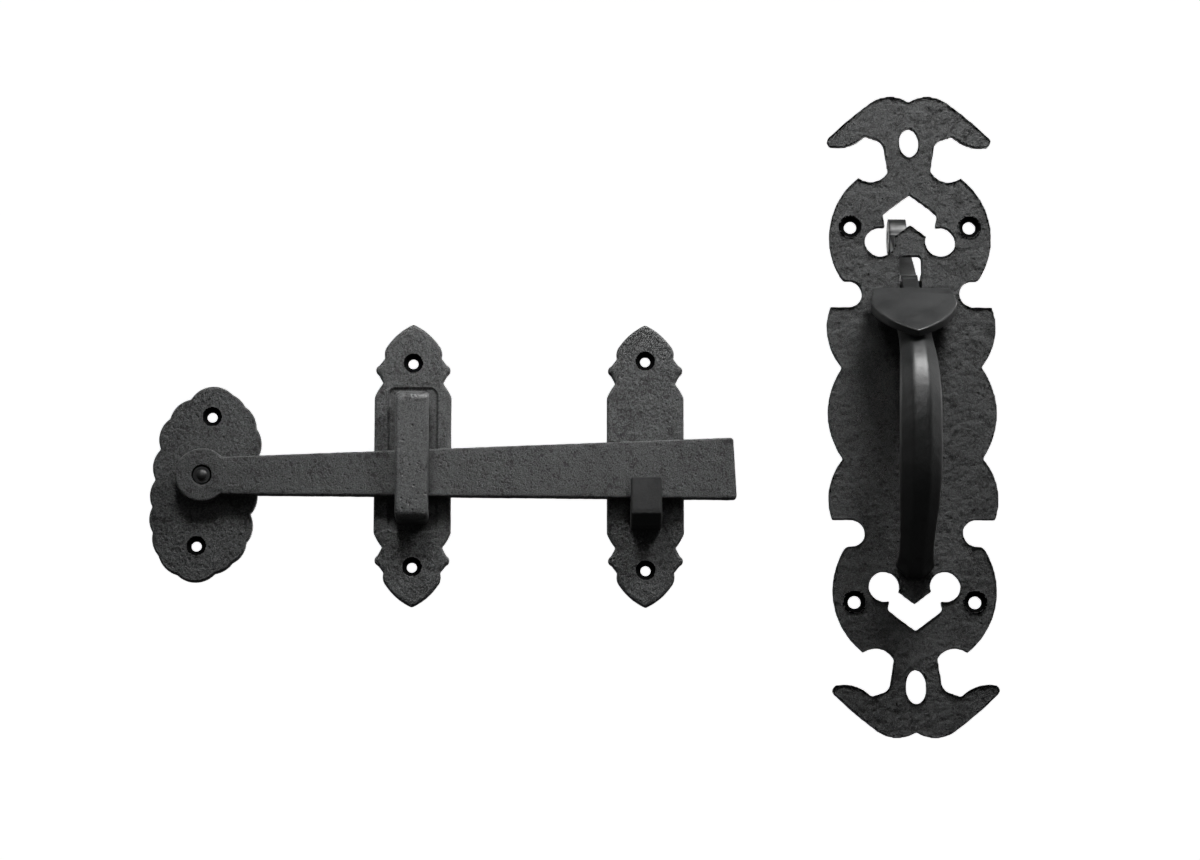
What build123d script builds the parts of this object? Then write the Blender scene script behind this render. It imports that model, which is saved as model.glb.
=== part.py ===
from build123d import *

import os
from math import asin, atan2, cos, degrees, hypot, radians, sin, tan

# A black iron thumb latch set for a ledged door or a gate, laid out flat as it is supplied.
# On the right is the outer half: an ornate plate with a bow handle, and a thumb lever whose tail
# passes through the door. On the left is the inner half: a latch bar that turns on a rivet in the
# pivot plate, runs through the staple of the guide plate and drops into the hook of the catch plate.
#
# Frame, in millimetres: +Z is up, the plane Y = 0 is the face that every plate is screwed to, and the
# front of the set looks along -Y. The origin is the middle of the handle plate's four screw holes.

# ---------------------------------------------------------------- driving dimensions
FIT = 0.05            # radial clearance of a tenon in its hole and of a piece that turns on a pin
PLAY = 0.15           # clearance between faces that slide past each other
TENON_ROOT = 1.0      # how far a tenon runs on into its own piece
OVAL_BEVEL = 0.8      # the bevel round the front edge of the pivot plate

# screw holes
SCREW_R = 2.5        # handle plate, for a 5 mm countersunk wood screw
SCREW_HEAD_R = 4.9
SMALL_SCREW_R = 2.1   # the three small plates, for a 4 mm countersunk wood screw
SMALL_SCREW_HEAD_R = 4.3
SINK_CONE = 90.0      # degrees

# handle plate: a scalloped body with a round head, a neck and a pair of horns at each end
PLATE_T = 5.0
BODY_HALF = 46.6      # middle of the plate to the end of the scalloped body
BODY_W = 73.4
SCALLOP_DEPTH = 6.4
MID_SCALLOP = 40.0    # length of the scallop in the middle of each side
CORNER_IN = 1.6       # the end corner of the body lies this far inside the widest place
CORNER_CREST = 0.8    # height of that widest place, as a share of the body's half length
NOTCH_R = 5.65        # the bite between the body and a head
NOTCH_IN = 15.4
ROUNDEL_W = 70.6      # the round head
ROUNDEL_H = 46.0
ROUNDEL_MID = 21.0    # start of the head to its widest place
ROUNDEL_FOOT = (29.6, 0.3)        # ends of the roundel's side: across, and above its start or top
ROUNDEL_SHOULDER = (22.2, 0.0)
ROUNDEL_SADDLE = (14.0, -1.4)     # the hollow beside the neck
NECK_W = 22.6
NECK_TAPER = 1.8
NECK_FOOT_RISE = 2.6  # top of the roundel to the straight side of the neck
NECK_TOP_DROP = 22.0  # crest of the horns to the top of that side
NECK_CORNER = (1.6, 20.0)         # the corner above it: outwards, and below the crest
HORN_SPAN = 71.6
HORN_RISE = 82.2      # start of the head to the crest of the horns
HORN_POINTS = (       # ends and middles of a horn's arcs: share of half the span, and below the crest
    (0.0, 2.4), (0.251, 0.0), (0.489, 3.4), (0.742, 10.6), (0.962, 17.9), (1.0, 20.6), (0.936, 22.8),
    (0.749, 22.5), (0.531, 17.8),
)
SCREW_SPACING_X = 51.6
SCREW_RISE = 24.0     # start of the head to its screw holes
LOBE_R = 6.3          # the pierced arch, with a round lobe at each foot
LOBE_SPACING = 26.2
LOBE_RISE = 17.4
ARCH_RISES = (38.2, 36.2)         # the upper head and the lower head differ a little
ARCH_CORNER = (11.6, 8.8)         # corner of the arch: across, and below its top
ARCH_FLANK = (5.4, 4.0)           # middle of the arc from the top to that corner
ARCH_TONGUE = 5.2     # rise of the plate's own point between the lobes
ARCH_BITE = 0.4       # share of a lobe's radius at which the straight sides leave it
EYE_SIZES = ((8.0, 12.4), (8.3, 14.2))
EYE_RISES = (61.5, 60.4)          # start of the head to the oval eye in the neck

# handle: a bow that swells in the middle, with a tenon at each foot
GRIP_OUT = 42.0       # door face to the middle of the bow
GRIP_MID_Z = -6.0     # height at which the bow stands out furthest
GRIP_W = 18.6
GRIP_T = 11.4
GRIP_TOP_W = 15.4
GRIP_LOW_W = 15.8
GRIP_END_T = 8.6
GRIP_SECTION = (      # shares of the width and of the thickness
    (0.0, 0.5), (0.18, 0.5), (0.5, 0.08), (0.5, -0.16), (0.28, -0.5), (0.0, -0.5),
)
GRIP_ROUND = 0.14     # share of the thickness
FOOT_W = 17.4
FOOT_H = 10.6
TOP_FOOT_DROP = 6.4   # end of the scalloped body to the upper foot
LOW_FOOT_RISE = 8.8   # start of the lower head to the lower foot
GRIP_UNDER = 1.3      # room between the press at rest and the shoulder of the bow
GRIP_TENON_R = 3.2
GRIP_TENON_HEAD_R = 4.6

# thumb lever, its pin and the lugs behind the handle plate
SLOT_W = 9.0
SLOT_ABOVE = 10.8     # pin to the top of the slot
SLOT_BELOW = 10.5
PIN_R = 1.9
PIN_BACK = 4.4        # door face to the pin, which is behind the plate
PIN_HEAD_R = 2.9
PIN_HEAD_T = 1.2
LUG_T = 4.0
LUG_R = 4.6
LEVER_T = 7.4
STEM_H = 7.6
HUB_R = 4.6
TAIL_H = 7.0
TAIL_REACH = 60.5     # door face to the middle of the tail's round end
TAIL_RISE = 34.0      # pin to the middle of the tail's round end
TAIL_END_R = 8.2
TAIL_END_T = 8.0
TAIL_EYE_R = 1.9
PRESS_SLOPE = 41.0    # degrees below level
PRESS_L = 37.5
PRESS_W = 37.0
PRESS_BACK_W = 33.4
PRESS_SQUARE_L = 13.0 # how far the sides run before they turn in to the point
PRESS_SIDE_BOW = 0.6  # how far the middle of a side lies inside its front corner
PRESS_CHEEK = (0.64, 0.73)        # middle of the arc to the point: shares of half width and length
PRESS_BACK_T = 5.8    # thickness at the back edge and at the point
PRESS_POINT_T = 3.4
PRESS_OUT = 3.4       # front of the plate to the back edge of the press
PRESS_DROP = 3.6      # pin to the back edge of the press

# latch bar and its pivot
PIVOT_X = -304.1
PIVOT_Z = -29.0
SMALL_T = 4.5         # thickness of the three small plates
BAR_T = 6.0
BAR_L = 228.2         # pivot to the end
BAR_END_SLANT = 1.4
BAR_ROOT_UP = 8.1     # top edge above the pivot, beside the eye and at the end
BAR_END_UP = 17.0
BAR_ROOT_DOWN = 8.6
BAR_END_DOWN = 10.0
EYE_R = 11.7
BAR_CORNER_R = 1.6
BAR_EDGE_R = 0.7
RIVET_R = 3.0
RIVET_BACK_HEAD_R = 5.0
RIVET_END_R = 2.3
RIVET_PROUD = 0.8
RIVET_DOME = 0.45     # height of the dome, as a share of its radius
RIVET_SPREAD = 0.65   # how far up the bar's countersink the rivet is spread
EYE_SINK_R = 4.2
EYE_SINK_CONE = 60.0
WASHER_R = 8.0
WASHER_T = 1.1

# pivot plate: a leaning oval with scalloped sides
OVAL_BESIDE = 0.3     # middle of the oval to the right of the pivot, and above it
OVAL_UP = -3.0
OVAL_SCREWS_BESIDE = 0.6
OVAL_SCREWS_UP = -1.6
OVAL_SCREW_SPACING = 56.2
OVAL_SCREW_LEAN = 6.0 # degrees
OVAL_SCALLOP_R = 11.2 # each scallop is an arc of this radius, from one cusp to the next
OVAL_CUSPS = (
    (-6.0, 37.0), (12.0, 39.0), (17.4, 33.8), (22.4, 24.4), (23.2, 12.2), (22.2, -0.4), (20.2, -12.6),
    (18.8, -24.8), (12.8, -33.8), (5.4, -38.4), (-10.8, -38.9), (-18.8, -30.8), (-21.4, -20.8),
    (-21.8, -9.8), (-20.6, 2.0), (-18.6, 15.2), (-14.8, 28.6),
)

# guide plate and catch plate: one pointed outline
GUIDE_X = 89.5        # along the bar from its pivot
CATCH_FROM_END = 39.0 # end of the bar to the middle of the catch
POINTED_UP = 5.8      # middle of these plates above the pivot
POINTED_HALF_H = 61.4
POINTED_W = 33.2
SHOULDER_DROP = 32.0  # point to shoulder
WAIST_W = 25.8
WAIST_DROP = 25.8
EAR_W = 32.2
EAR_DROP = 20.0
CHEEK_W = 24.4
CHEEK_DROP = 14.9
LANCET_W = 22.0
LANCET_DROP = 9.2
LANCET_BOW = (0.28, 0.42)         # middle of the arc to the point: shares of its width and drop
CHEEK_BOW = (0.1, 2.4)            # middle of the cheek's arc: outside the cheek, and below the lancet
EAR_TOP = (-1.5, 1.9)             # ends of the ear's round, measured from its tip
EAR_FOOT = (-1.2, -2.0)
SHOULDER_BOW = (-1.7, 3.4)        # middle of the arc to the shoulder, measured from the shoulder
POINTED_EDGE_R = 1.3  # the round along the front edge
GUIDE_SCREW_SPACING = 88.4
CATCH_SCREW_SPACING = 90.8

# staple of the guide plate
STAPLE_W = 14.4
STAPLE_WALL = 5.2
STAPLE_LEG = 6.0
STAPLE_BELOW = 5.0    # room under the bar, above it and in front of it
STAPLE_ABOVE = 18.6
STAPLE_FRONT = 2.0
STAPLE_CORNER_R = 4.2
STAPLE_EDGE_R = 1.4
STAPLE_FRONT_R = 2.8  # corners of the staple, seen from the front
STAPLE_TENON_R = 2.3
STAPLE_TENON_HEAD_R = 3.7
RECESS_DEPTH = 0.7
RECESS_MARGIN = 3.6

# hook of the catch plate
HOOK_W = 13.4
HOOK_ARM = 12.6
HOOK_LIP_UP = 8.4     # seat to the top of the lip
HOOK_FRONT = 1.3      # room in front of the bar
HOOK_LIP_T = 6.0      # the flat top of the lip
HOOK_LEAN = 1.8       # how far its face comes forward from there to the nose
HOOK_NOSE = 2.0
HOOK_NOSE_DOWN = 5.6
HOOK_CHIN = 4.6       # nose to the front of the arm's underside
HOOK_EDGE_R = 0.8
HOOK_TENON_R = 3.4
HOOK_TENON_HEAD_R = 5.0

# ---------------------------------------------------------------- places worked out from them
head_z = BODY_HALF + 2 * NOTCH_R
pin_z = head_z
top_foot_z = BODY_HALF - TOP_FOOT_DROP
low_foot_z = -head_z - LOW_FOOT_RISE
slope = radians(PRESS_SLOPE)
press_back = (-PLATE_T - PRESS_OUT, pin_z - PRESS_DROP)
press_point = (press_back[0] - PRESS_L * cos(slope), press_back[1] - PRESS_L * sin(slope))
under_back = (press_back[0], press_back[1] - PRESS_BACK_T / cos(slope))
under_point = (press_point[0] + PRESS_POINT_T * sin(slope), press_point[1] - PRESS_POINT_T * cos(slope))
catch_along = BAR_L - CATCH_FROM_END
guide_x = PIVOT_X + GUIDE_X
catch_x = PIVOT_X + catch_along
pointed_z = PIVOT_Z + POINTED_UP
washer_front = SMALL_T + WASHER_T
bar_back = washer_front + PLAY
bar_front = bar_back + BAR_T
bar_run = BAR_L - EYE_R


def bar_top(along):
    """Height of the bar's top edge above the door set's origin, at a distance from the pivot."""
    return PIVOT_Z + BAR_ROOT_UP + (BAR_END_UP - BAR_ROOT_UP) * (along - EYE_R) / bar_run


def bar_bottom(along):
    """Height of the bar's bottom edge, at a distance from the pivot."""
    return PIVOT_Z - BAR_ROOT_DOWN - (BAR_END_DOWN - BAR_ROOT_DOWN) * (along - EYE_R) / bar_run


def front_plane(x=0.0, z=0.0, out=0.0):
    """A front view at (x, z), some way out from the door face, drawn as X and Z."""
    return Plane(origin=(x, -out, z), x_dir=(1, 0, 0), z_dir=(0, -1, 0))


def back_plane(x, z):
    """The door face at (x, z), looking back into the door."""
    return Plane(origin=(x, 0, z), x_dir=(-1, 0, 0), z_dir=(0, 1, 0))


def side_plane(x, z=0.0):
    """A side view at (x, z), drawn as Y and Z, so the front is to the left."""
    return Plane(origin=(x, 0, z), x_dir=(0, 1, 0), z_dir=(1, 0, 0))


def peened_tenon(radius, head_radius, length):
    """A round tenon that fills a hole countersunk from the back, from where the caller stands."""
    out = (Align.CENTER, Align.CENTER, Align.MAX)
    Cylinder(radius - FIT, length, align=out)
    Cone(radius - FIT, head_radius - FIT, head_radius - radius, align=out)


def save(part, name):
    """Labels a finished piece and writes it as one STEP file."""
    part.label = name
    export_step(part, f"parts/{name}.step")
    print(f"{name:18s}{part.volume / 1000:9.2f} cm3  solids {len(part.solids())}")


# ---------------------------------------------------------------- handle plate
def handle_plate_outline():
    """A quarter of the outline, from the crest's dip to the middle of the side, mirrored twice."""
    half_w = BODY_W / 2
    neck = NECK_W / 2
    crest = head_z + HORN_RISE
    roundel_top = head_z + ROUNDEL_H
    notch_x = half_w - NOTCH_IN + NOTCH_R
    cusp_x = half_w - SCALLOP_DEPTH
    cusp_z = MID_SCALLOP / 2
    quarter_x = half_w - SCALLOP_DEPTH / 4
    body_corner = (half_w - CORNER_IN, BODY_HALF)
    body_crest = BODY_HALF * CORNER_CREST
    horn = [(share * HORN_SPAN / 2, crest - drop) for share, drop in HORN_POINTS]
    corner = (neck + NECK_CORNER[0], crest - NECK_CORNER[1])
    neck_top = (neck, crest - NECK_TOP_DROP)
    neck_foot = (neck - NECK_TAPER, roundel_top + NECK_FOOT_RISE)
    saddle = (ROUNDEL_SADDLE[0], roundel_top + ROUNDEL_SADDLE[1])
    shoulder = (ROUNDEL_SHOULDER[0], roundel_top + ROUNDEL_SHOULDER[1])
    foot = (ROUNDEL_FOOT[0], head_z + ROUNDEL_FOOT[1])
    with BuildSketch() as outline:
        with BuildLine():
            for start in range(0, len(horn) - 2, 2):
                ThreePointArc(*horn[start:start + 3])
            Polyline(horn[-1], corner, neck_top, neck_foot)
            ThreePointArc(neck_foot, saddle, shoulder)
            ThreePointArc(shoulder, (ROUNDEL_W / 2, head_z + ROUNDEL_MID), foot)
            Line(foot, (notch_x, head_z))
            ThreePointArc((notch_x, head_z), (notch_x - NOTCH_R, head_z - NOTCH_R), (notch_x, BODY_HALF))
            Line((notch_x, BODY_HALF), body_corner)
            ThreePointArc(body_corner, (half_w, body_crest), (cusp_x, cusp_z))
            ThreePointArc((cusp_x, cusp_z), (quarter_x, cusp_z / 2), (half_w, 0))
            mirror(about=Plane.YZ)
            mirror(about=Plane.XZ)
        make_face()
    return outline.sketch


def arch_opening(rise):
    """The pierced arch of one head: a lobe at each foot, and the plate's own point between them."""
    lobe = Vector(LOBE_SPACING / 2, LOBE_RISE)
    corner = Vector(ARCH_CORNER[0], rise - ARCH_CORNER[1])
    jamb = lobe + Vector(-LOBE_R * ARCH_BITE, LOBE_R)
    shoulder = lobe + Vector(-LOBE_R, LOBE_R * ARCH_BITE)
    with BuildSketch() as opening:
        with BuildLine():
            ThreePointArc((0, rise), (ARCH_FLANK[0], rise - ARCH_FLANK[1]), corner)
            Polyline(corner, jamb, lobe, shoulder, (0, shoulder.Y + ARCH_TONGUE))
            mirror(about=Plane.YZ)
        make_face()
        with Locations((-lobe.X, lobe.Y), (lobe.X, lobe.Y)):
            Circle(LOBE_R)
    return opening.sketch


def make_handle_plate():
    """The cast plate, its pierced work and holes, and the two lugs that carry the lever's pin."""
    with BuildPart() as plate:
        with BuildSketch(Plane.XZ):
            add(handle_plate_outline())
        extrude(amount=PLATE_T)
        with BuildSketch(Plane.XZ):
            for turn, arch_rise, eye_rise, eye in zip((0, 180), ARCH_RISES, EYE_RISES, EYE_SIZES):
                with Locations(Location((0, 0), turn)):
                    with Locations((0, head_z)):
                        add(arch_opening(arch_rise))
                    with Locations((0, head_z + eye_rise)):
                        Ellipse(eye[0] / 2, eye[1] / 2)
            with Locations((0, pin_z + (SLOT_ABOVE - SLOT_BELOW) / 2)):
                Rectangle(SLOT_W, SLOT_ABOVE + SLOT_BELOW)
        extrude(amount=PLATE_T, mode=Mode.SUBTRACT)
        with Locations(front_plane(out=PLATE_T)):
            with GridLocations(SCREW_SPACING_X, 2 * (head_z + SCREW_RISE), 2, 2):
                CounterSinkHole(SCREW_R, SCREW_HEAD_R, counter_sink_angle=SINK_CONE)
        for foot_z in (top_foot_z, low_foot_z):
            with Locations(back_plane(0, foot_z)):
                CounterSinkHole(GRIP_TENON_R, GRIP_TENON_HEAD_R, counter_sink_angle=SINK_CONE)
        for side in (-1, 1):
            with BuildSketch(side_plane(side * (SLOT_W + LUG_T) / 2, pin_z)):
                with Locations((PIN_BACK / 2, 0)):
                    Rectangle(PIN_BACK, 2 * LUG_R)
                with Locations((PIN_BACK, 0)):
                    Circle(LUG_R)
                    Circle(PIN_R, mode=Mode.SUBTRACT)
            extrude(amount=LUG_T / 2, both=True)
    return plate.part


# ---------------------------------------------------------------- handle
def grip_section(width, thickness):
    """Across the handle: a flat band at the front, two slopes, and a rounded back."""
    with BuildSketch() as section:
        with BuildLine():
            Polyline(*[(across * width, out * thickness) for across, out in GRIP_SECTION])
            mirror(about=Plane.YZ)
        make_face()
        fillet(section.vertices().filter_by(lambda v: abs(v.X) > FIT), thickness * GRIP_ROUND)
    return section.sketch


def make_handle_grip():
    """The bow, lofted through sections square to its middle line, and its two peened tenons."""
    fall = (under_back[1] - under_point[1]) / (under_back[0] - under_point[0])
    below = (GRIP_UNDER + GRIP_END_T / 2) * hypot(1, fall)

    def below_press(out):
        return (-out, under_back[1] - (out + under_back[0]) * fall - below)

    with BuildLine(side_plane(0)) as middle:
        Spline(
            (-PLATE_T, top_foot_z),
            below_press(13.0),
            below_press(25.0),
            (-GRIP_OUT * 0.88, GRIP_MID_Z + 22.0),
            (-GRIP_OUT, GRIP_MID_Z),
            (-GRIP_OUT * 0.9, GRIP_MID_Z - 26.0),
            (-GRIP_OUT * 0.58, GRIP_MID_Z - 45.0),
            (-PLATE_T, low_foot_z),
            tangents=((-1, 0.1), (1, -0.25)),
            tangent_scalars=(1.0, 1.0),
        )
    line = middle.line
    stations = (
        (0.0, FOOT_W, FOOT_H),
        (0.07, GRIP_TOP_W, GRIP_END_T),
        (0.2, GRIP_TOP_W, GRIP_END_T),
        (0.36, GRIP_W * 0.96, GRIP_T * 0.94),
        (0.5, GRIP_W, GRIP_T),
        (0.68, GRIP_W * 0.97, GRIP_T * 0.96),
        (0.84, GRIP_LOW_W, GRIP_END_T),
        (0.94, GRIP_LOW_W * 0.97, GRIP_END_T),
        (1.0, FOOT_W, FOOT_H * 1.15),
    )
    with BuildPart() as grip:
        for share, width, thickness in stations:
            along = line % share
            if share == 0.0:
                along = Vector(0, -1, 0)
            if share == 1.0:
                along = Vector(0, 1, 0)
            with BuildSketch(Plane(origin=line @ share, x_dir=(1, 0, 0), z_dir=along)):
                add(grip_section(width, thickness))
        loft()
        for foot_z in (top_foot_z, low_foot_z):
            with Locations(back_plane(0, foot_z)):
                peened_tenon(GRIP_TENON_R, GRIP_TENON_HEAD_R, PLATE_T + TENON_ROOT)
    return grip.part


# ---------------------------------------------------------------- thumb lever and its pin
def press_outline():
    """The thumb press from above: square at the back, and drawn in to a point at the front."""
    half_back = PRESS_BACK_W / 2
    half_w = PRESS_W / 2
    corner = (half_w, -PRESS_SQUARE_L)
    cheek = (half_w * PRESS_CHEEK[0], -PRESS_L * PRESS_CHEEK[1])
    with BuildSketch() as outline:
        with BuildLine():
            Line((0, 0), (half_back, 0))
            ThreePointArc((half_back, 0), (half_w - PRESS_SIDE_BOW, -PRESS_SQUARE_L / 2), corner)
            ThreePointArc(corner, cheek, (0, -PRESS_L))
            mirror(about=Plane.YZ)
        make_face()
    return outline.sketch


def make_press():
    """The press: thicker at its back than at its point."""
    with BuildPart() as press:
        with BuildSketch(
            Plane(origin=(0, *press_back), x_dir=(1, 0, 0), z_dir=(0, -sin(slope), cos(slope)))
        ):
            add(press_outline())
        extrude(amount=-PRESS_BACK_T)
        with BuildSketch(side_plane(0)):
            with BuildLine():
                Polyline(press_back, press_point, under_point, under_back, close=True)
            make_face()
        extrude(amount=PRESS_W, both=True, mode=Mode.INTERSECT)
    return press.part


def make_thumb_lever():
    """The press, the stem that passes through the slot, and the tail that lifts the bar."""
    pin = Vector(PIN_BACK, pin_z)
    tail_end = Vector(TAIL_REACH, pin_z + TAIL_RISE)
    tail = tail_end - pin
    stem_top = Vector(*press_back) - Vector(cos(slope), sin(slope)) * STEM_H
    with BuildPart() as lever:
        with BuildSketch(side_plane(0)):
            with Locations(pin):
                Circle(HUB_R)
            with Locations(Location(pin, degrees(atan2(tail.Y, tail.X)))):
                Rectangle(tail.length, TAIL_H, align=(Align.MIN, Align.CENTER))
            with Locations(tail_end):
                Circle(TAIL_END_R)
            with BuildLine():
                Polyline(
                    pin + Vector(0, HUB_R),
                    press_back,
                    stem_top,
                    stem_top - Vector(0, PRESS_POINT_T),
                    pin - Vector(0, HUB_R),
                    close=True,
                )
            make_face()
        extrude(amount=LEVER_T / 2, both=True)
        with BuildSketch(side_plane(0)):
            with Locations(tail_end):
                Circle(TAIL_END_R)
        extrude(amount=TAIL_END_T / 2, both=True)
        with BuildSketch(side_plane(0)):
            with Locations(pin):
                Circle(PIN_R)
            with Locations(tail_end):
                Circle(TAIL_EYE_R)
        extrude(amount=TAIL_END_T, both=True, mode=Mode.SUBTRACT)
        add(make_press())
    return lever.part


def make_lever_pin():
    """A plain pin across the slot, upset at both ends against the lugs."""
    half = SLOT_W / 2 + LUG_T
    with BuildPart() as pin:
        with Locations(Plane(origin=(0, PIN_BACK, pin_z), z_dir=(1, 0, 0))):
            Cylinder(PIN_R - FIT, 2 * half)
            with Locations((0, 0, half + PIN_HEAD_T / 2), (0, 0, -half - PIN_HEAD_T / 2)):
                Cylinder(PIN_HEAD_R, PIN_HEAD_T)
        heads = pin.edges().filter_by(GeomType.CIRCLE).sort_by(Axis.X)
        fillet([heads[0], heads[-1]], PIN_HEAD_T * 0.6)
    return pin.part


# ---------------------------------------------------------------- pivot plate, washer and rivet
def make_pivot_plate():
    """The leaning scalloped oval, with a screw hole above and a screw hole below the pivot."""
    with BuildPart() as plate:
        with BuildSketch(front_plane(PIVOT_X + OVAL_BESIDE, PIVOT_Z + OVAL_UP)):
            with BuildLine():
                for start, end in zip(OVAL_CUSPS, OVAL_CUSPS[1:] + OVAL_CUSPS[:1]):
                    RadiusArc(start, end, OVAL_SCALLOP_R)
            make_face()
        extrude(amount=SMALL_T)
        front = plate.faces().sort_by(Axis.Y)[0]
        chamfer(front.outer_wire().edges(), OVAL_BEVEL)
        with Locations(
            front_plane(PIVOT_X + OVAL_SCREWS_BESIDE, PIVOT_Z + OVAL_SCREWS_UP, SMALL_T)
            * Location((0, 0, 0), (0, 0, -OVAL_SCREW_LEAN))
        ):
            with GridLocations(0, OVAL_SCREW_SPACING, 1, 2):
                CounterSinkHole(SMALL_SCREW_R, SMALL_SCREW_HEAD_R, counter_sink_angle=SINK_CONE)
        with Locations(back_plane(PIVOT_X, PIVOT_Z)):
            CounterSinkHole(RIVET_R, RIVET_BACK_HEAD_R, counter_sink_angle=SINK_CONE)
    return plate.part


def make_pivot_washer():
    """The washer that holds the bar clear of the plate."""
    with BuildPart() as washer:
        with BuildSketch(front_plane(PIVOT_X, PIVOT_Z, SMALL_T)):
            Circle(WASHER_R)
            Circle(RIVET_R, mode=Mode.SUBTRACT)
        extrude(amount=WASHER_T)
    return washer.part


def make_pivot_rivet():
    """A rivet, flush at the back, and spread to a cone with a domed end in the bar's countersink."""
    shank = RIVET_R - FIT
    back_head = RIVET_BACK_HEAD_R - FIT
    spread = tan(radians(EYE_SINK_CONE / 2))
    throat = bar_front - (EYE_SINK_R - RIVET_R) / spread
    cone_start = throat + 2 * PLAY
    cone_end = throat + RIVET_SPREAD * (bar_front - throat)
    cone_r = shank + (cone_end - cone_start) * spread
    dome = bar_front + RIVET_PROUD
    dome_h = RIVET_END_R * RIVET_DOME
    dome_r = (RIVET_END_R**2 + dome_h**2) / (2 * dome_h)
    half_turn = asin(RIVET_END_R / dome_r) / 2
    with BuildPart() as rivet:
        with BuildSketch(Plane.XY):
            with BuildLine():
                Polyline(
                    (0, 0),
                    (back_head, 0),
                    (shank, back_head - shank),
                    (shank, cone_start),
                    (cone_r, cone_end),
                    (RIVET_END_R, cone_end),
                    (RIVET_END_R, dome - dome_h),
                )
                ThreePointArc(
                    (RIVET_END_R, dome - dome_h),
                    (dome_r * sin(half_turn), dome - dome_r * (1 - cos(half_turn))),
                    (0, dome),
                )
                Line((0, dome), (0, 0))
            make_face()
        revolve(axis=Axis.Y)
    turned = Rot(180, 0, 0) * rivet.part
    return Pos(PIVOT_X, 0, PIVOT_Z) * turned


# ---------------------------------------------------------------- latch bar
def make_latch_bar():
    """The tapering bar, with the round eye that it turns on."""
    with BuildPart() as bar:
        with BuildSketch(front_plane(0, 0, bar_back)):
            with BuildLine():
                Polyline(
                    (PIVOT_X, bar_top(0)),
                    (PIVOT_X + BAR_L - BAR_END_SLANT, bar_top(BAR_L)),
                    (PIVOT_X + BAR_L, bar_bottom(BAR_L)),
                    (PIVOT_X, bar_bottom(0)),
                    close=True,
                )
            face = make_face()
            fillet(face.vertices().sort_by(Axis.X)[-2:], BAR_CORNER_R)
            with Locations((PIVOT_X, PIVOT_Z)):
                Circle(EYE_R)
        extrude(amount=BAR_T)
        flat = bar.faces().sort_by(Axis.Y)
        fillet(flat[0].edges() + flat[-1].edges(), BAR_EDGE_R)
        with Locations(front_plane(PIVOT_X, PIVOT_Z, bar_front)):
            CounterSinkHole(RIVET_R, EYE_SINK_R, counter_sink_angle=EYE_SINK_CONE)
    return bar.part


# ---------------------------------------------------------------- guide plate and catch plate
def pointed_outline():
    """A quarter of the shared outline, from the point to the straight side, mirrored twice."""
    point = POINTED_HALF_H
    half_w = POINTED_W / 2
    waist = (WAIST_W / 2, point - WAIST_DROP)
    ear = (EAR_W / 2, point - EAR_DROP)
    cheek = (CHEEK_W / 2, point - CHEEK_DROP)
    lancet = (LANCET_W / 2, point - LANCET_DROP)
    lancet_mid = (LANCET_W * LANCET_BOW[0], point - LANCET_DROP * LANCET_BOW[1])
    cheek_mid = (CHEEK_W / 2 + CHEEK_BOW[0], point - LANCET_DROP - CHEEK_BOW[1])
    ear_top = (ear[0] + EAR_TOP[0], ear[1] + EAR_TOP[1])
    ear_foot = (ear[0] + EAR_FOOT[0], ear[1] + EAR_FOOT[1])
    shoulder = (half_w, point - SHOULDER_DROP)
    shoulder_mid = (half_w + SHOULDER_BOW[0], point - SHOULDER_DROP + SHOULDER_BOW[1])
    with BuildSketch() as outline:
        with BuildLine():
            ThreePointArc((0, point), lancet_mid, lancet)
            ThreePointArc(lancet, cheek_mid, cheek)
            Line(cheek, ear_top)
            ThreePointArc(ear_top, ear, ear_foot)
            Line(ear_foot, waist)
            ThreePointArc(waist, shoulder_mid, shoulder)
            Line(shoulder, (half_w, 0))
            mirror(about=Plane.YZ)
            mirror(about=Plane.XZ)
        make_face()
    return outline.sketch


def pointed_plate(x, screw_spacing):
    """One pointed plate with its two screw holes, as a builder that the caller finishes."""
    with BuildPart() as plate:
        with BuildSketch(front_plane(x, pointed_z)):
            add(pointed_outline())
        extrude(amount=SMALL_T)
        front = plate.faces().sort_by(Axis.Y)[0]
        fillet(front.outer_wire().edges(), POINTED_EDGE_R)
        with Locations(front_plane(x, pointed_z, SMALL_T)):
            with GridLocations(0, screw_spacing, 1, 2):
                CounterSinkHole(SMALL_SCREW_R, SMALL_SCREW_HEAD_R, counter_sink_angle=SINK_CONE)
    return plate.part


staple_low = bar_bottom(GUIDE_X) - STAPLE_BELOW - STAPLE_LEG
staple_high = bar_top(GUIDE_X) + STAPLE_ABOVE + STAPLE_LEG
staple_out = bar_front + STAPLE_FRONT + STAPLE_WALL
staple_mid = (staple_low + staple_high) / 2
staple_feet = (staple_low + STAPLE_LEG / 2, staple_high - STAPLE_LEG / 2)
hook_seat = bar_bottom(catch_along + HOOK_W / 2) - PLAY
hook_foot = hook_seat - HOOK_ARM / 2


def make_guide_plate():
    """A pointed plate with a shallow pocket that the staple stands in."""
    with BuildPart() as plate:
        add(pointed_plate(guide_x, GUIDE_SCREW_SPACING))
        with BuildSketch(front_plane(guide_x, staple_mid, SMALL_T)):
            pocket = Rectangle(
                STAPLE_W + 2 * RECESS_MARGIN, staple_high - staple_low + 2 * RECESS_MARGIN
            )
            fillet(pocket.vertices(), RECESS_MARGIN)
        extrude(amount=-RECESS_DEPTH, mode=Mode.SUBTRACT)
        for foot_z in staple_feet:
            with Locations(back_plane(guide_x, foot_z)):
                CounterSinkHole(STAPLE_TENON_R, STAPLE_TENON_HEAD_R, counter_sink_angle=SINK_CONE)
    return plate.part


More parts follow.
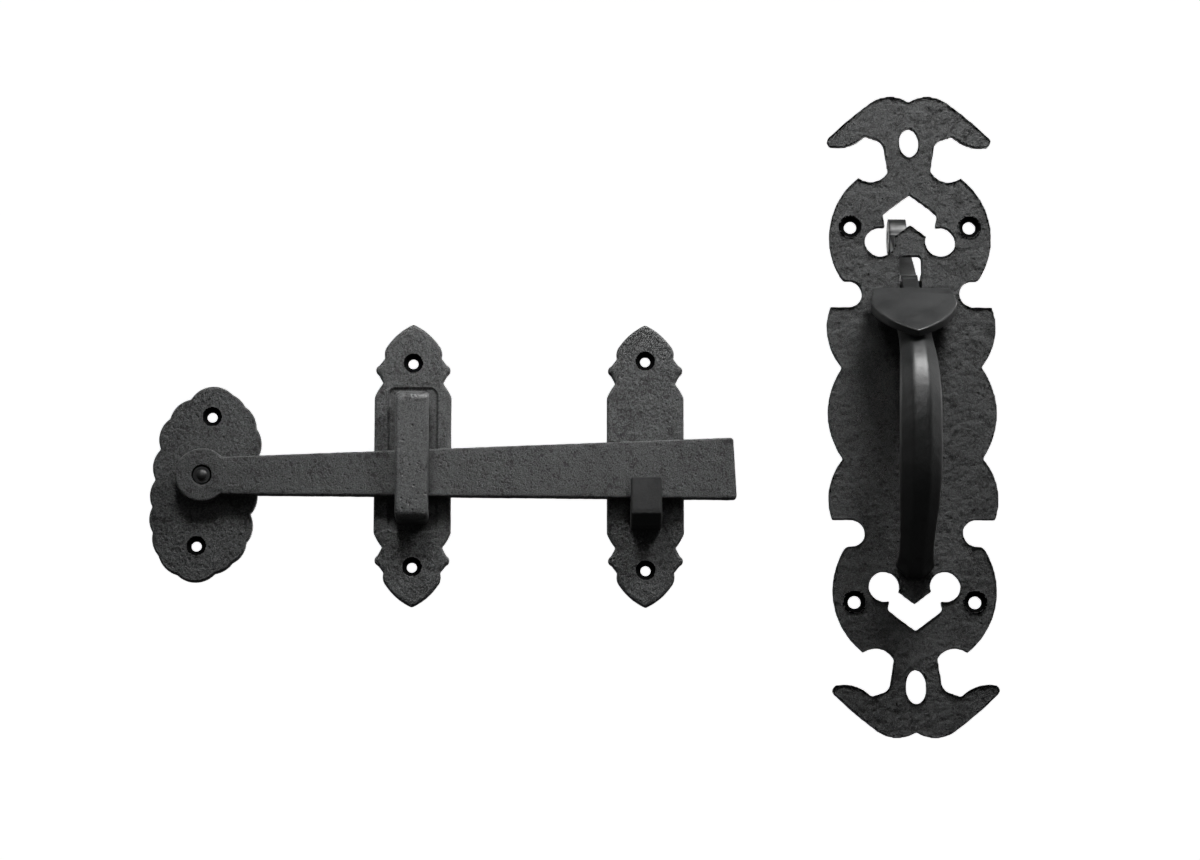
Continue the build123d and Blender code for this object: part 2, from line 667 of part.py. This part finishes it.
def make_guide_staple():
    """The staple that the bar runs behind, with a peened tenon on each leg."""
    pocket_floor = SMALL_T - RECESS_DEPTH
    room = staple_out - STAPLE_WALL - pocket_floor
    with BuildPart() as staple:
        with BuildSketch(side_plane(guide_x)):
            with Locations((-(staple_out + pocket_floor) / 2, staple_mid)):
                outer = Rectangle(staple_out - pocket_floor, staple_high - staple_low)
                fillet(outer.vertices().sort_by(Axis.X)[:2], STAPLE_CORNER_R)
            with Locations((-pocket_floor - room / 2, staple_mid)):
                inner_h = staple_high - staple_low - 2 * STAPLE_LEG
                Rectangle(room, inner_h, mode=Mode.SUBTRACT)
        extrude(amount=STAPLE_W / 2, both=True)
        front = staple.faces().sort_by(Axis.Y)[0]
        fillet(front.edges().filter_by(Axis.Z), STAPLE_EDGE_R)
        with BuildSketch(front_plane(guide_x, staple_mid, pocket_floor)):
            shape = Rectangle(STAPLE_W + PLAY, staple_high - staple_low + PLAY)
            fillet(shape.vertices(), STAPLE_FRONT_R)
        extrude(amount=staple_out - pocket_floor + PLAY, mode=Mode.INTERSECT)
        for foot_z in staple_feet:
            with Locations(back_plane(guide_x, foot_z)):
                peened_tenon(STAPLE_TENON_R, STAPLE_TENON_HEAD_R, SMALL_T)
    return staple.part


def make_catch_plate():
    """A pointed plate with the hole that the hook's tenon is peened into."""
    with BuildPart() as plate:
        add(pointed_plate(catch_x, CATCH_SCREW_SPACING))
        with Locations(back_plane(catch_x, hook_foot)):
            CounterSinkHole(HOOK_TENON_R, HOOK_TENON_HEAD_R, counter_sink_angle=SINK_CONE)
    return plate.part


def make_catch_hook():
    """The hook: an arm under the bar, and a square block in front of it whose face leans forward."""
    lip_in = bar_front + HOOK_FRONT
    nose_out = lip_in + HOOK_LIP_T + HOOK_LEAN
    nose_top = hook_seat - HOOK_NOSE_DOWN
    with BuildPart() as hook:
        with BuildSketch(side_plane(catch_x)):
            with BuildLine():
                Polyline(
                    (-SMALL_T, hook_seat),
                    (-lip_in, hook_seat),
                    (-lip_in, hook_seat + HOOK_LIP_UP),
                    (-lip_in - HOOK_LIP_T, hook_seat + HOOK_LIP_UP),
                    (-nose_out, nose_top),
                    (-nose_out, nose_top - HOOK_NOSE),
                    (-nose_out + HOOK_CHIN, hook_seat - HOOK_ARM),
                    (-SMALL_T, hook_seat - HOOK_ARM),
                    close=True,
                )
            make_face()
        extrude(amount=HOOK_W / 2, both=True)
        sides = hook.faces().filter_by(Axis.X)
        front_edges = [edge for face in sides for edge in face.edges() if edge.center().Y < -washer_front]
        chamfer(front_edges, HOOK_EDGE_R)
        with Locations(back_plane(catch_x, hook_foot)):
            peened_tenon(HOOK_TENON_R, HOOK_TENON_HEAD_R, SMALL_T + TENON_ROOT)
    return hook.part


os.makedirs("parts", exist_ok=True)
save(make_handle_plate(), "handle_plate")
save(make_handle_grip(), "handle_grip")
save(make_thumb_lever(), "thumb_lever")
save(make_lever_pin(), "lever_pivot_pin")
save(make_pivot_plate(), "pivot_plate")
save(make_pivot_washer(), "pivot_washer")
save(make_pivot_rivet(), "pivot_rivet")
save(make_latch_bar(), "latch_bar")
save(make_guide_plate(), "guide_plate")
save(make_guide_staple(), "guide_staple")
save(make_catch_plate(), "catch_plate")
save(make_catch_hook(), "catch_hook")
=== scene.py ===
# %% [markdown]
# A black iron thumb latch, laid out flat: the handle half on the right, the bar half on the left.
# The CAD model is loaded first, and it fixes every size and place. What this file adds is the
# skin of each casting and forging, its finish, the light and the camera.

import math

import bpy
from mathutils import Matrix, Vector
from mathutils.bvhtree import BVHTree


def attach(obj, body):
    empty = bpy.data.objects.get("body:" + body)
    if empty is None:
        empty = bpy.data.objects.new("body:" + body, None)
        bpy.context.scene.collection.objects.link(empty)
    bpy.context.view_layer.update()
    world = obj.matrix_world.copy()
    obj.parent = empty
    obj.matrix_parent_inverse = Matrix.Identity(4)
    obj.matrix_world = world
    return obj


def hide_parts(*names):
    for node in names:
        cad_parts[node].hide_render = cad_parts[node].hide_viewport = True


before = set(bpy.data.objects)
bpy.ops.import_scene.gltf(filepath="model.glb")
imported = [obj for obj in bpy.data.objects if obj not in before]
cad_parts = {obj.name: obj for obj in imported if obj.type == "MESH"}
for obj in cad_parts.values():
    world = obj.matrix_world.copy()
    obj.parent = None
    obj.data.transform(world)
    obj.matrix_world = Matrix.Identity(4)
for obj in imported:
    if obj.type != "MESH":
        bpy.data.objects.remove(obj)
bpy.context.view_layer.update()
MM = 0.001

# %% [markdown]
# Blender's shaders work in linear light, while a colour that is read off a paint card is an sRGB hex
# value. One function turns one into the other. A second small function adds a shader node with its
# settings and its links, so that a material reads like a list of what it is made of.

# %% Colour and node helpers
def colour(hex_value):
    """The linear colour of an sRGB hex value, with full alpha."""
    channels = [int(hex_value[i:i + 2], 16) / 255 for i in (0, 2, 4)]
    linear = [c / 12.92 if c <= 0.04045 else ((c + 0.055) / 1.055) ** 2.4 for c in channels]
    return (*linear, 1.0)


def add_node(material, kind, settings=None, **links):
    """Adds a node, sets its properties or sockets, and links sockets that are named by keyword."""
    tree = material.node_tree
    node = tree.nodes.new(kind)
    for key, value in (settings or {}).items():
        if hasattr(node, key):
            setattr(node, key, value)
        else:
            node.inputs[key].default_value = value
    for key, socket in links.items():
        tree.links.new(socket, node.inputs[key.replace("_", " ")])
    return node


print("mid grey 808080 is", round(colour("808080")[0], 3), "in linear light")

# %% [markdown]
# All the iron here was cast in sand or forged, and then given a thin black coat. The coat hides the
# metal's colour but not its shape, and sand leaves its marks: scattered pits, and crooked chips about
# two millimetres long where it broke away from the mould. They could be modelled, but bump carries what
# is finer than the skin's own mesh. The chips are a noise that is cut off sharply, and a wider noise
# keeps them in patches. The pits are the middles of Voronoi cells.

# %% Chips and pits of a casting
CHIP_MM = 2.2
CHIP_SHARE = 0.44     # more of this, and more of a patch is chipped
PATCH_MM = 7.0


def patchy_chips(material, place, cover):
    """Nought in small crooked chips that come in patches, and one elsewhere."""
    course = add_node(
        material, "ShaderNodeTexNoise",
        {"Scale": 1 / (CHIP_MM * MM), "Detail": 5.0, "Roughness": 0.66, "Distortion": 0.9}, Vector=place,
    )
    chip = add_node(
        material, "ShaderNodeMapRange",
        {"From Min": CHIP_SHARE, "From Max": CHIP_SHARE + 0.04, "interpolation_type": "SMOOTHSTEP"},
        Value=course.outputs["Fac"],
    )
    patches = add_node(
        material, "ShaderNodeTexNoise", {"Scale": 1 / (PATCH_MM * MM), "Detail": 5.0, "Roughness": 0.62},
        Vector=place,
    )
    bare = add_node(
        material, "ShaderNodeMapRange",
        {"From Min": cover + 0.03, "From Max": cover - 0.03, "interpolation_type": "SMOOTHSTEP"},
        Value=patches.outputs["Fac"],
    )
    chips = add_node(material, "ShaderNodeMath", {"operation": "MAXIMUM"}, Value=chip.outputs["Result"])
    material.node_tree.links.new(bare.outputs["Result"], chips.inputs[1])
    return chips


def scattered_pits(material, place, spacing_mm):
    """Nought in small round pits, and one between them."""
    cells = add_node(
        material, "ShaderNodeTexVoronoi", {"Scale": 1 / (spacing_mm * MM), "Randomness": 1.0},
        Vector=place,
    )
    return add_node(
        material, "ShaderNodeMapRange",
        {"From Min": 0.06, "From Max": 0.26, "interpolation_type": "SMOOTHSTEP"},
        Value=cells.outputs["Distance"],
    )


print("chips of", CHIP_MM, "mm, in patches of", PATCH_MM, "mm")

# %% [markdown]
# A black coat is a dark dielectric with a satin sheen, so nothing in these finishes is metallic. They
# differ in their grain, which is one to three millimetres across: deep where sand left it, and nearly
# flat where a wheel or a file dressed the iron. Fine dust turns the iron grey, and the chips and pits
# are painted near black as the shade in these hollows. Real dust is finer, but half a millimetre is
# about as fine as shows from the camera.

# %% Finish of the black coated iron
DUST_MM = 0.5
DRIFT_MM = 14.0       # slow change of the sheen across a casting
NO_CHIPS = 1.2        # no patch reaches this, so there are none


def black_iron(name, coat, worn, roughness, grain_mm, grain_depth, pit_mm, pit_depth, chip_cover):
    """Satin black coat over iron, with a sand grain, scattered pits and patches of chips."""
    material = bpy.data.materials.new(name)
    material.use_nodes = True
    tree = material.node_tree
    tree.nodes.clear()
    place = add_node(material, "ShaderNodeTexCoord").outputs["Object"]
    grain = add_node(
        material, "ShaderNodeTexNoise", {"Scale": 1 / (grain_mm * MM), "Detail": 6.0, "Roughness": 0.78},
        Vector=place,
    )
    dust = add_node(
        material, "ShaderNodeTexNoise", {"Scale": 1 / (DUST_MM * MM), "Detail": 2.0, "Roughness": 0.6},
        Vector=place,
    )
    drift = add_node(
        material, "ShaderNodeTexNoise", {"Scale": 1 / (DRIFT_MM * MM), "Detail": 3.0}, Vector=place
    )
    pits = scattered_pits(material, place, pit_mm)
    chips = patchy_chips(material, place, chip_cover)
    hollow = add_node(material, "ShaderNodeMath", {"operation": "MULTIPLY"}, Value=pits.outputs["Result"])
    tree.links.new(chips.outputs["Value"], hollow.inputs[1])
    high = add_node(
        material, "ShaderNodeMapRange", {"From Min": 0.40, "From Max": 0.62}, Value=dust.outputs["Fac"]
    )
    tint = add_node(material, "ShaderNodeMix", {"data_type": "RGBA"}, Factor=high.outputs["Result"])
    tint.inputs[6].default_value = colour(coat)
    tint.inputs[7].default_value = colour(worn)
    # Painted shade: the pits and chips are coloured near black for the shade that sits in them.
    hollow_shade = add_node(material, "ShaderNodeMix", {"data_type": "RGBA"}, Factor=hollow.outputs["Value"])
    hollow_shade.inputs[6].default_value = colour("060606")
    tree.links.new(tint.outputs[2], hollow_shade.inputs[7])
    sheen = add_node(
        material, "ShaderNodeMapRange",
        {"From Min": 0.3, "From Max": 0.7, "To Min": roughness - 0.06, "To Max": roughness + 0.10},
        Value=drift.outputs["Fac"],
    )
    hollow_bump = add_node(
        material, "ShaderNodeBump", {"Strength": 1.0, "Distance": pit_depth * MM},
        Height=hollow.outputs["Value"],
    )
    grain_bump = add_node(
        material, "ShaderNodeBump", {"Strength": 1.0, "Distance": grain_depth * MM},
        Height=grain.outputs["Fac"], Normal=hollow_bump.outputs["Normal"],
    )
    shader = add_node(
        material, "ShaderNodeBsdfPrincipled", {"Metallic": 0.0, "IOR": 1.5, "Specular IOR Level": 0.5},
        Base_Color=hollow_shade.outputs[2], Roughness=sheen.outputs["Result"], Normal=grain_bump.outputs["Normal"],
    )
    add_node(material, "ShaderNodeOutputMaterial", Surface=shader.outputs["BSDF"])
    print(f"{name}: grain {grain_mm} mm, pits every {pit_mm} mm")
    return material


sand_cast = black_iron(
    "black_sand_cast_iron", coat="0a0b0b", worn="3b3c3c", roughness=0.50,
    grain_mm=3.0, grain_depth=1.60, pit_mm=3.6, pit_depth=0.45, chip_cover=0.50,
)
grainy_cast = black_iron(
    "black_grainy_cast_iron", coat="0a0b0b", worn="3f4040", roughness=0.52,
    grain_mm=1.3, grain_depth=0.30, pit_mm=2.8, pit_depth=0.12, chip_cover=0.50,
)
worn_cast = black_iron(
    "black_worn_cast_iron", coat="1e1f1f", worn="484949", roughness=0.50,
    grain_mm=1.6, grain_depth=0.25, pit_mm=2.8, pit_depth=0.25, chip_cover=0.56,
)
dressed = black_iron(
    "black_dressed_iron", coat="0f1010", worn="1a1b1b", roughness=0.40,
    grain_mm=2.0, grain_depth=0.12, pit_mm=9.0, pit_depth=0.05, chip_cover=NO_CHIPS,
)
# The hook's coat is darker than the bar's: painted shade for the faces it turns from the light.
filed_and_shaded = black_iron(
    "black_filed_iron_shaded", coat="040505", worn="0c0d0d", roughness=0.78,
    grain_mm=1.2, grain_depth=0.15, pit_mm=9.0, pit_depth=0.05, chip_cover=NO_CHIPS,
)
black_steel = black_iron(
    "black_coated_steel", coat="0c0d0d", worn="191a1a", roughness=0.36,
    grain_mm=1.2, grain_depth=0.10, pit_mm=3.0, pit_depth=0.05, chip_cover=NO_CHIPS,
)

# %% [markdown]
# The screw holes are drilled and countersunk after the casting is cleaned. Their cones sit in shade,
# so each shows as a ring of dead black round a bright hole, and that shade is painted: the cone faces
# get a near black material of their own, rough and with next to no sheen.

# %% Painted shade in the countersinks
RIPPLE_MM = 0.8
painted_shade = bpy.data.materials.new("black_painted_shade")
painted_shade.use_nodes = True
painted_shade_shader = painted_shade.node_tree.nodes["Principled BSDF"]
# Painted shade: near black with next to no sheen, for the shade in the countersink cones.
painted_shade_shader.inputs["Base Color"].default_value = colour("030303")
painted_shade_shader.inputs["Roughness"].default_value = 0.8
painted_shade_shader.inputs["Specular IOR Level"].default_value = 0.02
ripples = add_node(
    painted_shade, "ShaderNodeTexNoise", {"Scale": 1 / (RIPPLE_MM * MM), "Detail": 2.0},
    Vector=add_node(painted_shade, "ShaderNodeTexCoord").outputs["Object"],
)
ripples_bump = add_node(painted_shade, "ShaderNodeBump", {"Distance": 0.1 * MM}, Height=ripples.outputs["Fac"])
painted_shade.node_tree.links.new(ripples_bump.outputs["Normal"], painted_shade_shader.inputs["Normal"])
print(painted_shade.name, "with runs of", RIPPLE_MM, "mm")

# %% [markdown]
# A machined model has razor edges and dead flat faces, and a casting has neither. The skin of each
# piece starts as a merged copy of the CAD node. A voxel remesh gives it an even mesh, and a
# little smoothing rounds each edge by under a millimetre, as a sand mould does. Sculpting by hand would
# look the same, but it could not be repeated when a size changes.

# %% Skin of a casting
MERGE_MM = 0.002


def select_only(obj):
    """Makes one object the only selected and the active one."""
    bpy.ops.object.select_all(action="DESELECT")
    obj.select_set(True)
    bpy.context.view_layer.objects.active = obj


def cast_skin(node, name, voxel_mm, rounding):
    """A merged, evenly meshed and slightly rounded copy of a CAD node."""
    select_only(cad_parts[node])
    bpy.ops.object.duplicate()
    skin = bpy.context.object
    skin.parent = None
    skin.matrix_world.identity()
    skin.name = name
    bpy.ops.object.mode_set(mode="EDIT")
    bpy.ops.mesh.select_all(action="SELECT")
    bpy.ops.mesh.remove_doubles(threshold=MERGE_MM * MM)
    bpy.ops.object.mode_set(mode="OBJECT")
    remesh = skin.modifiers.new("even", "REMESH")
    remesh.mode = "VOXEL"
    remesh.voxel_size = voxel_mm * MM
    bpy.ops.object.modifier_apply(modifier=remesh.name)
    smooth = skin.modifiers.new("rounded", "SMOOTH")
    smooth.factor = 0.5
    smooth.iterations = rounding
    bpy.ops.object.modifier_apply(modifier=smooth.name)
    bpy.ops.object.shade_smooth()
    return skin


print("points closer than", MERGE_MM, "mm are merged before the remesh")

# %% [markdown]
# The lumps of a casting are larger than its grain, and catch the light, so they are real displacement.
# It only ever pushes inwards, so that the skin stays within the CAD size and the clearances between
# moving pieces stay open. On the plates it works mostly on the front and the back, because the edges and
# the holes are drawn out of the mould, and stay truer.

# %% Lumps of a casting
SQUARE_FROM = 0.82    # from this much of a normal along Y, a face begins to count as front or back
SQUARE_FADE = 0.14


def weigh_faces(skin, edge_share):
    """A vertex group that is full on the front and the back, and a share of that on the edges."""
    group = skin.vertex_groups.new(name="relief")
    for vertex in skin.data.vertices:
        squarely = (abs(vertex.normal.y) - SQUARE_FROM) / SQUARE_FADE
        group.add([vertex.index], max(edge_share, min(1.0, squarely)), "REPLACE")


def add_lumps(skin, size_mm, depth_mm, streak=1.0, turn=0.0, hard=False):
    """Pushes the skin inwards by up to a depth, in lumps of a size, drawn out along one direction."""
    noise = bpy.data.textures.new("lumps", "CLOUDS")
    noise.noise_scale = size_mm * MM
    noise.noise_depth = 3
    noise.noise_type = "HARD_NOISE" if hard else "SOFT_NOISE"
    bpy.ops.object.empty_add(rotation=(0, turn, 0))
    grid = bpy.context.object
    grid.scale = (streak, 1.0, 1.0)
    bpy.context.view_layer.update()
    push = skin.modifiers.new("lumps", "DISPLACE")
    push.texture = noise
    push.texture_coords = "OBJECT"
    push.texture_coords_object = grid
    push.mid_level = 1.0
    push.strength = depth_mm * MM
    if "relief" in skin.vertex_groups:
        push.vertex_group = "relief"
    select_only(skin)
    bpy.ops.object.modifier_apply(modifier=push.name)
    bpy.data.objects.remove(grid)


print("faces count fully as front or back from", round(SQUARE_FROM + SQUARE_FADE, 2))

# %% [markdown]
# The remesh forgets which faces belong to a countersink, so they are found again by looking, and are
# given the painted shade. A face of the cone slants towards the front, and from it a level ray crosses
# the hole and meets the other side three to nine millimetres away. The rule is a rough one. It also
# catches slanting faces on the rims of the handle plate's openings and horns, round the bar's eye, and
# a few on the staple and the hook, and those get the painted shade too. Taking the places of the screws
# from the imported record would be stricter. The dressed pieces are not searched.

# %% Countersinks, and finishing a skin
SINK_SLANT = (-0.88, -0.3)    # a cone's normal along Y lies between these
SINK_SIGHT_MM = (3.0, 9.4)
SINK_START_MM = 0.3


def find_countersinks(skin):
    """Gives the painted shade to slanting faces that see another face, straight across, a screw hole's
    width away.
    """
    near, far = SINK_SIGHT_MM
    points = [vertex.co for vertex in skin.data.vertices]
    tree = BVHTree.FromPolygons(points, [tuple(face.vertices) for face in skin.data.polygons])
    count = 0
    for face in skin.data.polygons:
        if not SINK_SLANT[0] < face.normal.y < SINK_SLANT[1]:
            continue
        level = Vector((face.normal.x, 0, face.normal.z)).normalized()
        seen = tree.ray_cast(face.center + level * SINK_START_MM * MM, level, far * MM)
        if seen[0] is not None and seen[3] > near * MM:
            # Painted shade: the face takes the near black second material.
            face.material_index = 1
            count += 1
    print(f"{skin.name}: {count} faces marked for the pooled coat")


def finish_skin(skin, node, body, slot, material):
    """Gives a skin its finish, and lets it stand for its node on its body."""
    skin.data.materials.clear()
    skin.data.materials.append(material)
    if slot != "black_dressed_iron":
        # The second material is the painted shade of the countersinks.
        skin.data.materials.append(painted_shade)
        find_countersinks(skin)
    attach(skin, body)
    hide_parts(node)
    print(f"{skin.name}: {len(skin.data.polygons)} faces")


print("countersinks are looked for across", SINK_SIGHT_MM, "mm")

# %% [markdown]
# The handle plate is the largest casting, and the roughest. Its mould was cut by hand, so the face
# has slanting ridges a few millimetres long over the finer grain of the sand. Two displacements of
# different sizes give both, the first drawn out along its slant. One noise alone would look like
# orange peel.

# %% Handle plate
RIDGE_SLANT = math.radians(-35)
plate = cast_skin("handle_plate", "handle_plate_casting", 0.7, 2)
weigh_faces(plate, 0.25)
add_lumps(plate, 5.0, 1.25, streak=1.5, turn=RIDGE_SLANT, hard=True)
add_lumps(plate, 2.2, 0.5)
finish_skin(plate, "handle_plate", "plates", "black_casting", sand_cast)

# %% [markdown]
# The bow handle is cast too, but hands and a file have made it smooth, with flats that run into each
# other softly. More rounds of smoothing give those soft arrises, and one slow shallow displacement
# stops the highlights from being ruler straight.

# %% Bow handle
grip = cast_skin("handle_grip", "bow_handle", 0.6, 14)
add_lumps(grip, 9.0, 0.3)
finish_skin(grip, "handle_grip", "plates", "black_dressed_iron", dressed)

# %% [markdown]
# The thumb lever is one forging: press, stem and tail. Its faces are flat and its edges crisp, so it
# gets a finer mesh and very little smoothing.

# %% Thumb lever
lever = cast_skin("thumb_lever", "thumb_lever_forging", 0.5, 2)
add_lumps(lever, 7.0, 0.15)
finish_skin(lever, "thumb_lever", "lever", "black_dressed_iron", dressed)

# %% [markdown]
# The three small plates are thinner castings from a finer sand. They get the same treatment as the
# handle plate on a smaller scale, so one loop makes all three.

# %% Small plates
for node, name in (
    ("pivot_plate", "pivot_plate_casting"),
    ("guide_plate", "guide_plate_casting"),
    ("catch_plate", "catch_plate_casting"),
):
    small = cast_skin(node, name, 0.45, 3)
    weigh_faces(small, 0.3)
    add_lumps(small, 3.4, 0.25, hard=True)
    add_lumps(small, 1.4, 0.2)
    finish_skin(small, node, "plates", "black_casting", grainy_cast)

# %% [markdown]
# The staple is cast with its edges well rounded, and the hook is filed where the bar slides up it. The
# hook's coat is also made darker than the bar's, as painted shade for its faces turned from the light.
# Both are small enough to be seen close, so their meshes are the finest.

# %% Staple and hook
staple = cast_skin("guide_staple", "staple_casting", 0.4, 5)
add_lumps(staple, 2.6, 0.2)
finish_skin(staple, "guide_staple", "plates", "black_bar_iron", worn_cast)
hook = cast_skin("catch_hook", "hook_casting", 0.35, 4)
add_lumps(hook, 3.0, 0.12)
finish_skin(hook, "catch_hook", "plates", "black_bar_iron", filed_and_shaded)

# %% [markdown]
# The latch bar slides between the staple and its plate every day, so it is flatter than the plates,
# but it is still a casting, with the same fine grain.

# %% Latch bar
bar = cast_skin("latch_bar", "latch_bar_casting", 0.5, 3)
add_lumps(bar, 4.0, 0.25)
add_lumps(bar, 1.3, 0.16)
finish_skin(bar, "latch_bar", "bar", "black_bar_iron", grainy_cast)

# %% [markdown]
# The lever's pin, the rivet and its washer are turned from bar, and their CAD shapes are already
# right. They keep their meshes, and only get the finish of black coated steel.

# %% Pin, rivet and washer
for node in ("lever_pivot_pin", "pivot_rivet", "pivot_washer"):
    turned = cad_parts[node]
    turned.data.materials.clear()
    turned.data.materials.append(black_steel)
    print(f"{node}: black coated steel")

# %% [markdown]
# A studio for black metal is mostly about what the metal doesn't see. The room here is one round
# white sweep, floor and wall in one, which glows just enough to look like lit paper. It is kept out
# of the iron's diffuse and glossy light, because black iron in a white room turns an even grey. What
# shapes the iron is then left to the lights.

# %% White sweep
ROOM_R = 4.5
ROOM_HEIGHT = 7.0
ROOM_X = -0.13
FLOOR_Z = -1.1
COVE_R = 1.0
bpy.ops.mesh.primitive_cylinder_add(
    vertices=96, radius=ROOM_R, depth=ROOM_HEIGHT, end_fill_type="NGON",
    location=(ROOM_X, 0, FLOOR_Z + ROOM_HEIGHT / 2),
)
room = bpy.context.object
room.name = "studio_floor"
bpy.ops.object.transform_apply(location=True, rotation=True, scale=True)
for part in (room.data.vertices, room.data.edges, room.data.polygons):
    part.foreach_set("select", [False] * len(part))
for face in room.data.polygons:
    face.select = face.normal.z < -0.9
bpy.ops.object.mode_set(mode="EDIT")
bpy.ops.mesh.select_mode(type="FACE")
bpy.ops.mesh.bevel(offset=COVE_R, segments=12)
bpy.ops.mesh.select_all(action="SELECT")
bpy.ops.mesh.flip_normals()
bpy.ops.object.mode_set(mode="OBJECT")
bpy.ops.object.shade_smooth()
white = bpy.data.materials.new("studio_white_paper")
white.use_nodes = True
paper = white.node_tree.nodes["Principled BSDF"]
paper.inputs["Base Color"].default_value = colour("f2f2f2")
paper.inputs["Roughness"].default_value = 0.9
paper.inputs["Emission Color"].default_value = colour("ffffff")
paper.inputs["Emission Strength"].default_value = 0.95
room.data.materials.append(white)
room.visible_diffuse = False
room.visible_glossy = False
print("floor at", FLOOR_Z, "m")

# %% [markdown]
# The key light is a small softbox above and a little to the right of the handle, close enough that its
# light falls off down the plate and rakes across the grain. A second one does the same for the bar,
# with a narrow beam, so that it leaves the shadows beside the handle alone. A tall weak strip in front
# draws the highlight down the bow. Two boxes behind the plates edge the outline with light, and one at
# the back keeps the views from behind readable. A distant lamp would be evener, and would show neither
# the ridges nor the fall of the light.

# %% Lights
def softbox(name, place, aim, width, height, watts, spread=180):
    """A rectangular soft light that looks at a point, with its beam spread in degrees."""
    bpy.ops.object.light_add(type="AREA", location=place)
    lamp = bpy.context.object
    lamp.name = name
    lamp.rotation_euler = (Vector(aim) - Vector(place)).to_track_quat("-Z", "Y").to_euler()
    lamp.data.shape = "RECTANGLE"
    lamp.data.size = width
    lamp.data.size_y = height
    lamp.data.energy = watts
    lamp.data.spread = math.radians(spread)
    print(f"{name}: {watts} W")


centre = (-0.14, 0.0, 0.0)
softbox("key_softbox", (0.09, -0.20, 0.36), (0.0, 0.0, 0.10), 0.14, 0.14, 3.2)
softbox("bar_softbox", (-0.26, -0.32, 0.42), (-0.21, 0.0, 0.0), 0.16, 0.16, 0.33, spread=50)
softbox("strip_softbox", (0.0, -0.9, 0.40), (0.0, 0.0, 0.0), 0.06, 0.5, 0.15, spread=60)
softbox("left_softbox", (-1.2, 0.3, 0.4), centre, 0.8, 0.8, 4.0)
softbox("right_softbox", (1.0, 0.3, 0.4), centre, 0.8, 0.8, 4.0)
softbox("back_softbox", (0.3, 1.4, 0.5), centre, 1.0, 1.0, 22.0)
world = bpy.data.worlds.new("studio_air")
world.use_nodes = True
world.node_tree.nodes["Background"].inputs["Color"].default_value = colour("ffffff")
world.node_tree.nodes["Background"].inputs["Strength"].default_value = 0.06
bpy.context.scene.world = world
bpy.context.scene.view_settings.view_transform = "Standard"

# %% [markdown]
# The camera stands well back with a long lens, as for a catalogue, so that both halves are seen
# almost square on. It looks up a little, which shows the undersides of the staple, the hook and the
# press.

# %% Camera
VIEW_WIDTH = 0.516
DISTANCE = 1.75
BELOW = math.radians(10)
EYE_X = -0.165
aim = Vector((-0.1343, 0.0, -0.0072))
eye = Vector((EYE_X, -DISTANCE * math.cos(BELOW), aim.z - DISTANCE * math.sin(BELOW)))
bpy.ops.object.camera_add(location=eye)
camera = bpy.context.object
camera.rotation_euler = (aim - eye).to_track_quat("-Z", "Y").to_euler()
camera.data.sensor_width = 36.0
camera.data.lens = camera.data.sensor_width * (aim - eye).length / VIEW_WIDTH
camera.data.clip_end = 20.0
bpy.context.scene.camera = camera
print("lens", round(camera.data.lens), "mm")
